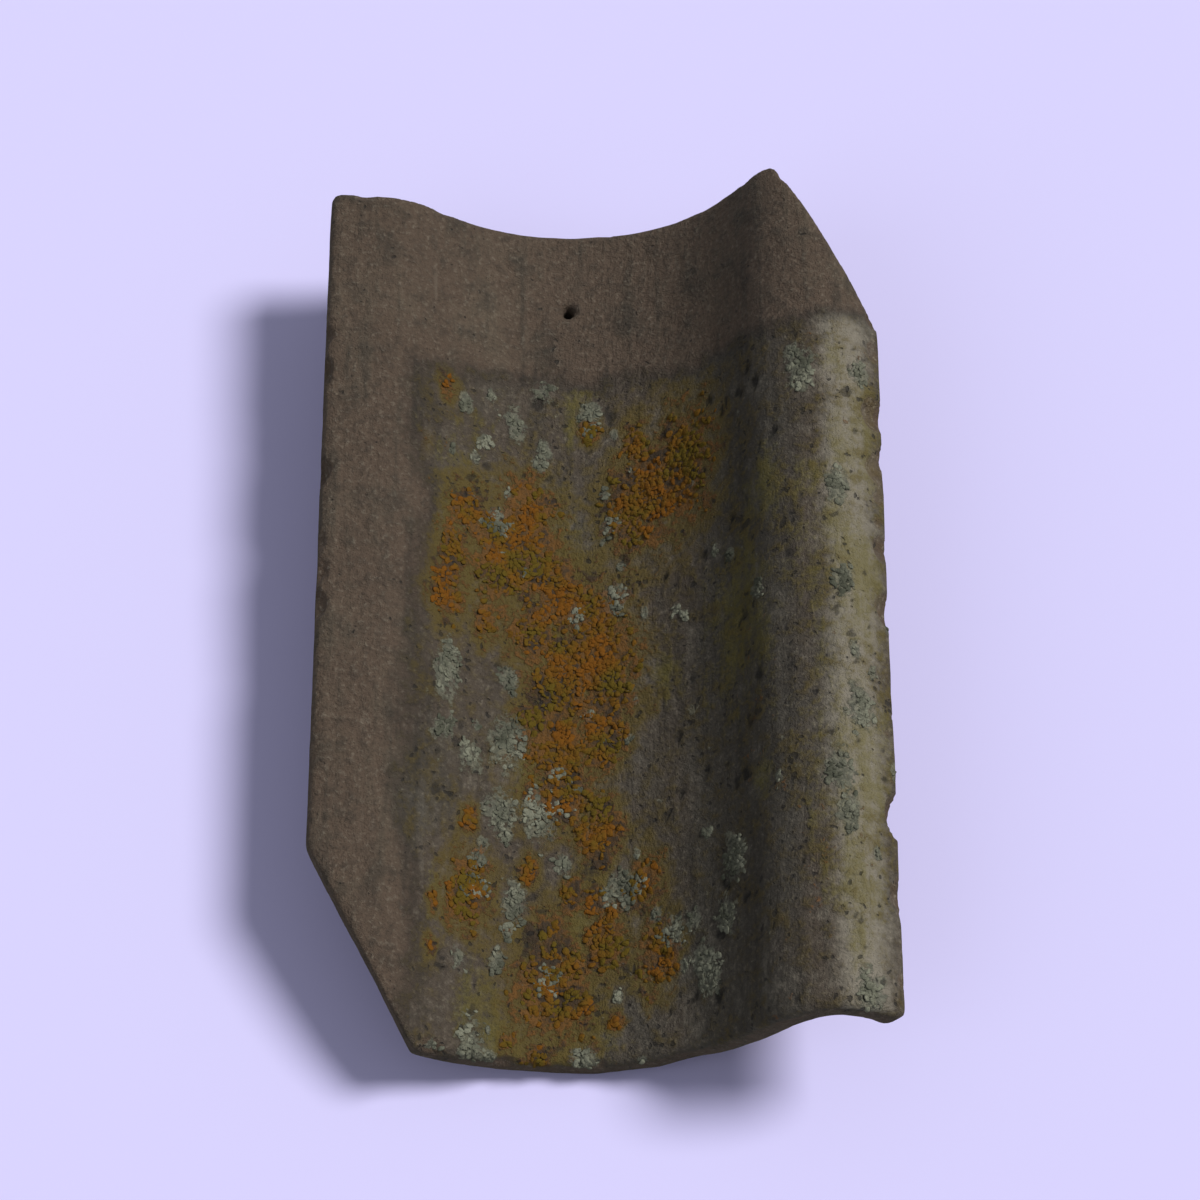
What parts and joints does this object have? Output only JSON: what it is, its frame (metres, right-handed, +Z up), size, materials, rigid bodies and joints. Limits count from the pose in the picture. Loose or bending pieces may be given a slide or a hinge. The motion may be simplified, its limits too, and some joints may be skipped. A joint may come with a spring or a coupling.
{
  "type": "roof tile",
  "caption": "S-shaped single-lap clay pantile with a broad pan, a roll that covers the neighbour's edge, a hanging nib and a nail hole.",
  "frame": {"origin": "middle of the tile's box, on the floor that it lies on", "axes": "+Y from the tail edge to the head edge, +X towards the roll, +Z up; the tile lies on its tail edge and its nib, so its head is 2.4 degrees higher"},
  "size_m": [0.24, 0.4026, 0.0916],
  "materials": {
    "fired_clay": "unglazed fired clay, weathered dark brown-grey, with lichen and grime on the upper face"
  },
  "bodies": {
    "root": {"pantile": "fired_clay"}
  },
  "joints": []
}
